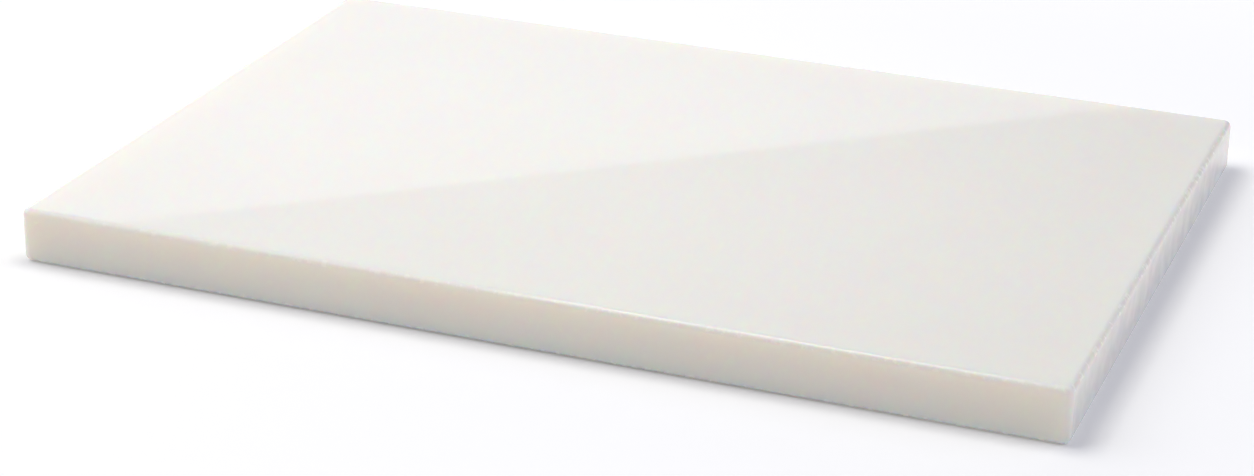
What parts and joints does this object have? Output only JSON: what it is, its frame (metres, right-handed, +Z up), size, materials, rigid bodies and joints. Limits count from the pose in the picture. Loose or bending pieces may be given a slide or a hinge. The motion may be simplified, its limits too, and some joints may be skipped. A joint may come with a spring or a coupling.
{
  "type": "cutting board",
  "caption": "Rectangular one-piece polyethylene cutting board with eased edges and lightly rounded corners.",
  "frame": {"origin": "centre of the underside, the face that rests on the worktop", "axes": "+X along the board's length, +Y across its depth towards the far long edge, +Z up out of the cutting face"},
  "size_m": [0.38, 0.265, 0.02],
  "materials": {
    "polyethylene": "satin"
  },
  "bodies": {
    "root": {"board": "polyethylene"}
  },
  "joints": []
}
